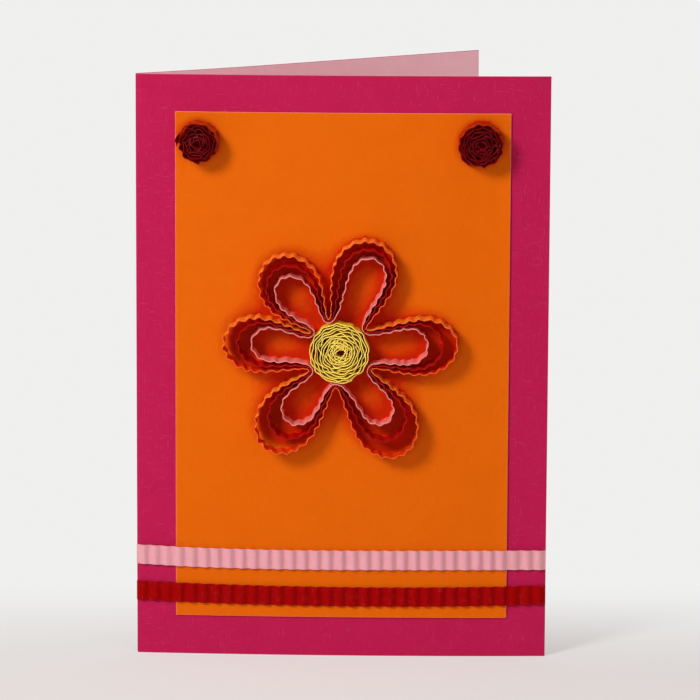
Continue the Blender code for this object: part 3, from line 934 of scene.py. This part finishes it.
seen = add_node(floor_tree, "ShaderNodeMath", {
    0: seen, 1: path["Is Transmission Ray"]}, operation="MAXIMUM").outputs[0]
spot = add_node(floor_tree, "ShaderNodeTexCoord").outputs["Object"]
depth = add_node(floor_tree, "ShaderNodeSeparateXYZ", {0: spot}).outputs["Y"]
behind = add_node(floor_tree, "ShaderNodeMapRange", {
    0: depth, 1: GLOW_START, 2: GLOW_FULL, 3: FRONT_GLOW_SHARE},
    interpolation_type="SMOOTHSTEP").outputs[0]
share = add_node(floor_tree, "ShaderNodeMath", {0: seen, 1: behind}, operation="MULTIPLY")
pale = add_node(floor_tree, "ShaderNodeEmission", {"Color": (*BACKDROP_COLOUR, 1.0)})
blend = add_node(floor_tree, "ShaderNodeMixShader", {
    0: share.outputs[0], 1: floor_shader.outputs[0], 2: pale.outputs[0]})
floor_tree.links.new(blend.outputs[0], floor_tree.nodes["Material Output"].inputs[0])
floor = new_piece("pale_sweep", floor_mesh, (floor_paper,))

# The light
# One softbox at the upper left, a wide dim one at the right, and an even pale room.
KEY_DIRECTION = Vector((-0.525, -0.69, 0.497))
KEY_DISTANCE = 1.1
KEY_SIZE = 0.34
KEY_POWER = 8.5
FILL_DIRECTION = Vector((0.6, -0.9, 0.5))
FILL_DISTANCE = 1.4
FILL_SIZE = 1.2
FILL_POWER = 1.2
ROOM_STRENGTH = 0.37
ROOM_COLOUR = (1.0, 0.86, 0.82)

flower_centre = on_card(FLOWER_RIGHT, FLOWER_UP, 0.0)


def softbox(name, direction, distance, size, power):
    """A round soft lamp that faces the flower from a direction."""
    lamp = bpy.data.lights.new(name, "AREA")
    lamp.shape = "DISK"
    lamp.size = size
    lamp.energy = power
    obj = bpy.data.objects.new(name, lamp)
    bpy.context.scene.collection.objects.link(obj)
    obj.location = flower_centre + direction.normalized() * distance
    obj.rotation_euler = direction.to_track_quat("Z", "Y").to_euler()
    return obj


softbox("key_softbox", KEY_DIRECTION, KEY_DISTANCE, KEY_SIZE, KEY_POWER)
softbox("fill_softbox", FILL_DIRECTION, FILL_DISTANCE, FILL_SIZE, FILL_POWER)
room = bpy.data.worlds.new("pale_room")
room.use_nodes = True
room.node_tree.nodes["Background"].inputs["Color"].default_value = (*ROOM_COLOUR, 1.0)
room.node_tree.nodes["Background"].inputs["Strength"].default_value = ROOM_STRENGTH
bpy.context.scene.world = room
bpy.context.scene.view_settings.view_transform = "Standard"

# The camera
# It stands a little right of the card's middle and looks down on it by ten degrees.
CAMERA_FROM_CARD = Vector((0.0802, -1.1575, 0.2846))
CAMERA_PITCH = radians(10.04)
CAMERA_YAW = radians(-1.27)
CAMERA_ROLL = radians(0.26)
FOCAL_PIXELS = 4616.0
FRAME_PIXELS = 700.0
SENSOR_WIDTH = 36.0

forward = Vector((sin(CAMERA_YAW) * cos(CAMERA_PITCH), cos(CAMERA_YAW) * cos(CAMERA_PITCH),
                  -sin(CAMERA_PITCH)))
level = Vector((cos(CAMERA_YAW), -sin(CAMERA_YAW), 0.0))
upright = level.cross(forward)
right = level * cos(CAMERA_ROLL) + upright * sin(CAMERA_ROLL)
above = upright * cos(CAMERA_ROLL) - level * sin(CAMERA_ROLL)
lens = bpy.data.cameras.new("photo_camera")
lens.sensor_width = SENSOR_WIDTH
lens.lens = FOCAL_PIXELS / FRAME_PIXELS * SENSOR_WIDTH
lens.clip_start = 0.05
lens.clip_end = 20.0
camera = bpy.data.objects.new("photo_camera", lens)
bpy.context.scene.collection.objects.link(camera)
turn = Matrix((right, above, -forward)).transposed().to_4x4()
camera.matrix_world = Matrix.Translation(card_place + CAMERA_FROM_CARD) @ turn
bpy.context.scene.camera = camera
